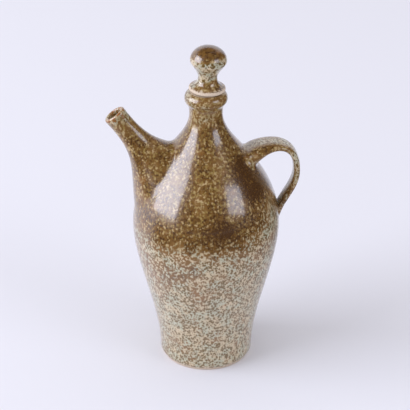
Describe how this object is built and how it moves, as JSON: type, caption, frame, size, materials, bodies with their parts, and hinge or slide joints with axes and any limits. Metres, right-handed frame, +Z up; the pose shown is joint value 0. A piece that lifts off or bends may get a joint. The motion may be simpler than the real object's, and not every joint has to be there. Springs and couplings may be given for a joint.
{
  "type": "lidded decanter",
  "caption": "Thrown stoneware decanter with a full belly, narrow collared neck, flared side spout, strap handle and a loose knobbed stopper that lifts out of the neck.",
  "frame": {"origin": "centre of the flat base, on the surface that the decanter stands on", "axes": "+Z up along the axis of the thrown body, -X towards the spout, +X towards the handle"},
  "size_m": [0.1489, 0.1144, 0.2652],
  "materials": {
    "glaze": "glossy speckled glaze, olive brown above and pale grey green below",
    "spout_glaze": "glossy speckled olive brown glaze with a rust brown lip",
    "handle_glaze": "glossy speckled glaze, pale grey green breaking to brown on the edges",
    "stopper_glaze": "glossy speckled glaze with a bare clay flange edge and plug"
  },
  "bodies": {
    "vessel": {"body": "glaze", "spout": "spout_glaze", "handle": "handle_glaze"},
    "stopper": {"stopper": "stopper_glaze"}
  },
  "joints": [
    {"name": "stopper_lift", "type": "slide", "parent": "vessel", "child": "stopper", "axis": [0, 0, 1], "range_m": [0, 0.05]}
  ]
}
